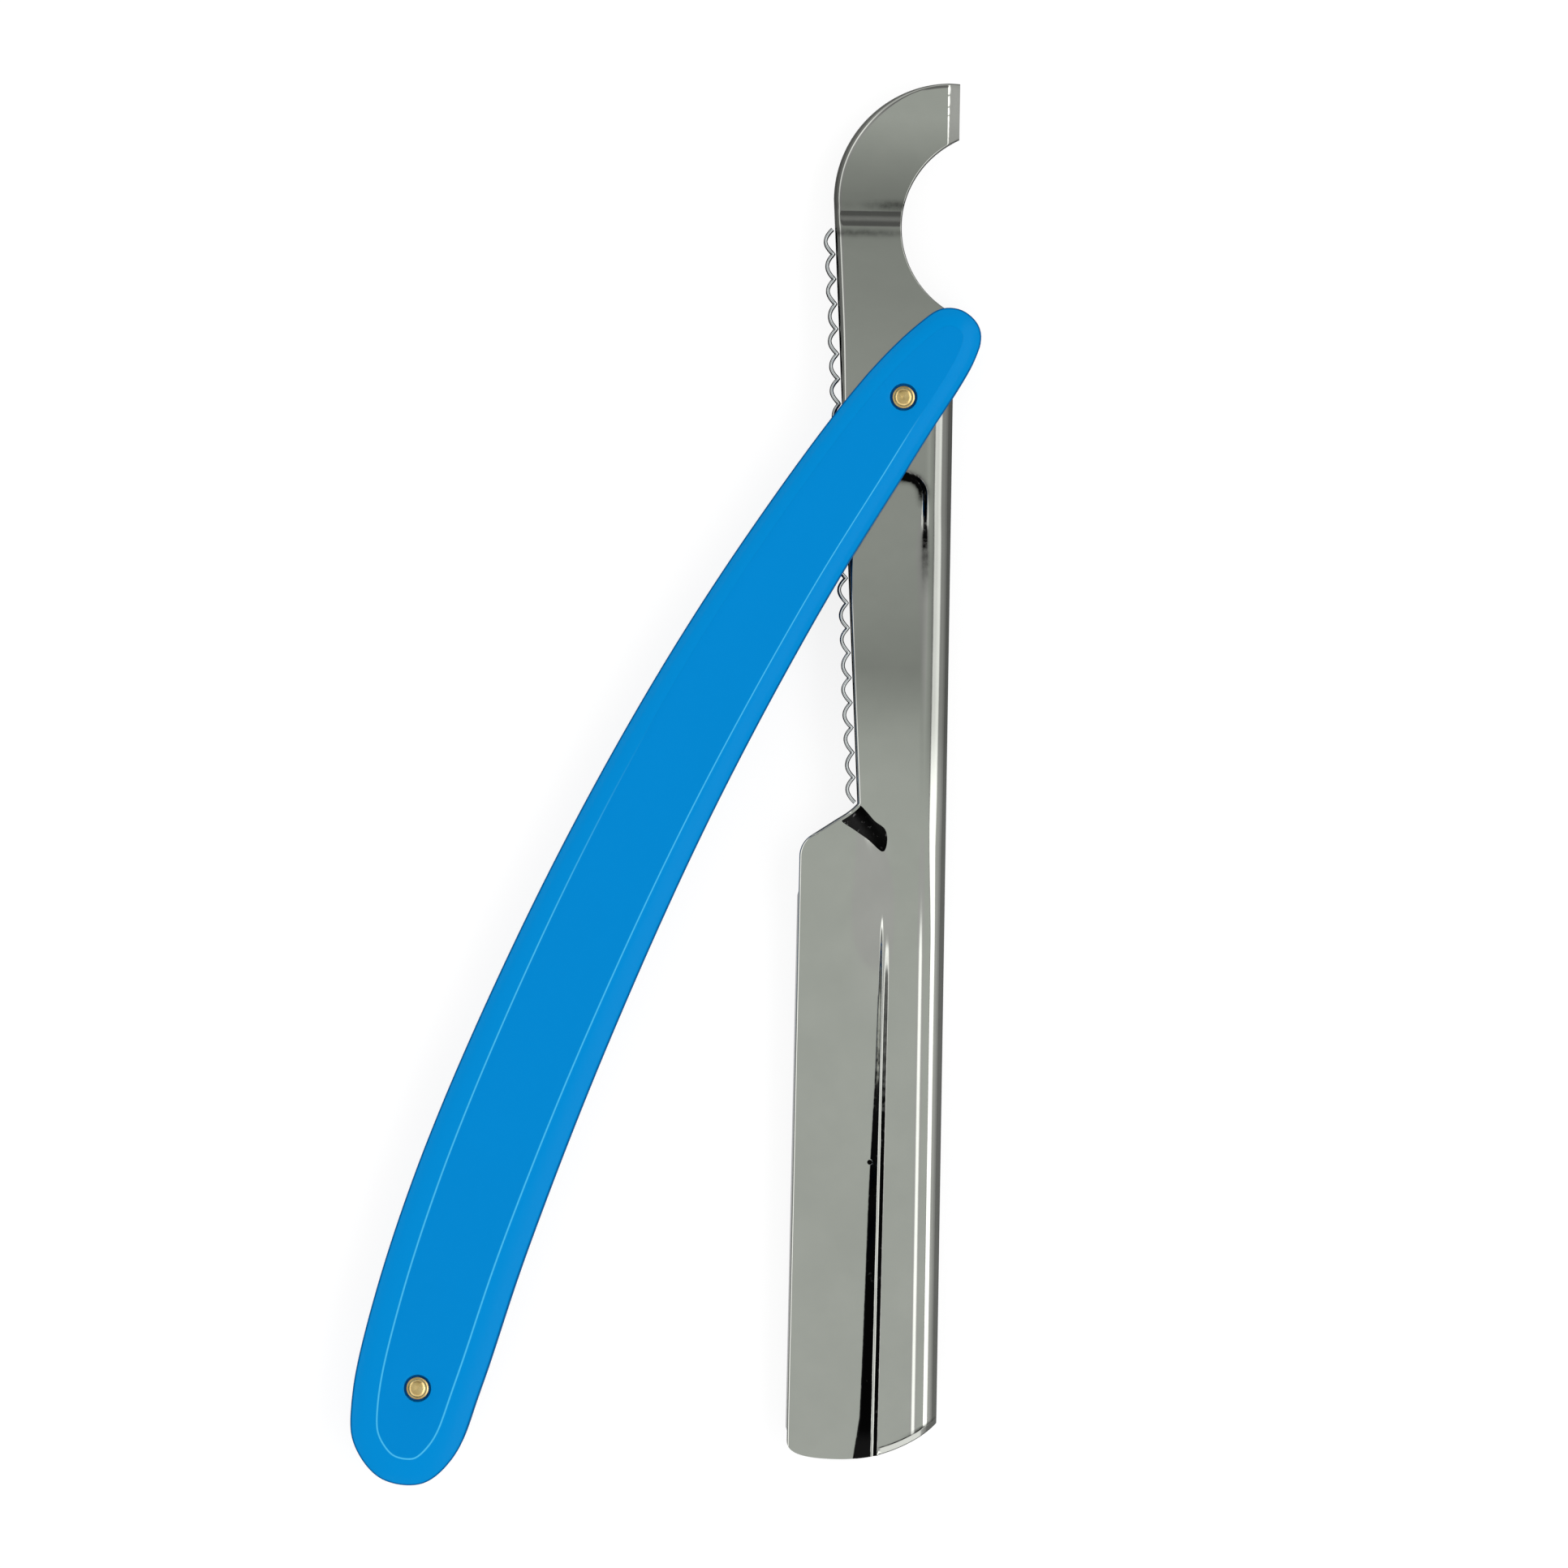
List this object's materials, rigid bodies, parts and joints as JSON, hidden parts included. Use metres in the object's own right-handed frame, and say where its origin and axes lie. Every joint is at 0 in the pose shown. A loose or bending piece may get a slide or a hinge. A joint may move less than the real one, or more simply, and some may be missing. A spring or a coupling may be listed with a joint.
{
  "type": "folding straight razor",
  "caption": "Folding barber's razor: hooked sheet-steel blade holder with a corrugated finger grip, pivoted in a two-scale plastic handle, with a blade that slides out.",
  "frame": {"origin": "on the fold's axis, at the pivot pin's rear end, in the plane of the rear scale's outer face", "axes": "+Y along the blade holder towards the hooked tang, +X towards the holder's spine, +Z out of the front scale"},
  "size_m": [0.0678, 0.1561, 0.0092],
  "materials": {
    "scale_plastic": "glossy moulded plastic",
    "spacer_plastic": "moulded plastic",
    "washer_plastic": "plain",
    "brass": "peened and polished",
    "polished_steel": "polished",
    "grip_steel": "polished",
    "blade_steel": "ground and polished"
  },
  "bodies": {
    "handle": {"front_scale": "scale_plastic", "rear_scale": "scale_plastic", "tail_spacer": "spacer_plastic", "pivot_pin": "brass", "pivot_collar_rear": "brass", "pivot_collar_front": "brass", "tail_pin": "brass", "tail_collar_rear": "brass", "tail_collar_front": "brass", "pivot_washer_rear": "washer_plastic", "pivot_washer_front": "washer_plastic"},
    "holder": {"holder_shell": "polished_steel", "finger_grip_strip": "grip_steel", "pivot_bush": "brass"},
    "blade": {"razor_blade": "blade_steel"}
  },
  "joints": [
    {"name": "fold", "type": "hinge", "parent": "handle", "child": "holder", "pos_m": [0, 0, 0.0046], "axis": [0, 0, 1], "range_deg": [-23.6, 315]},
    {"name": "blade_slide", "type": "slide", "parent": "holder", "child": "blade", "axis": [-1, 0, 0], "range_m": [0, 0.012]}
  ]
}
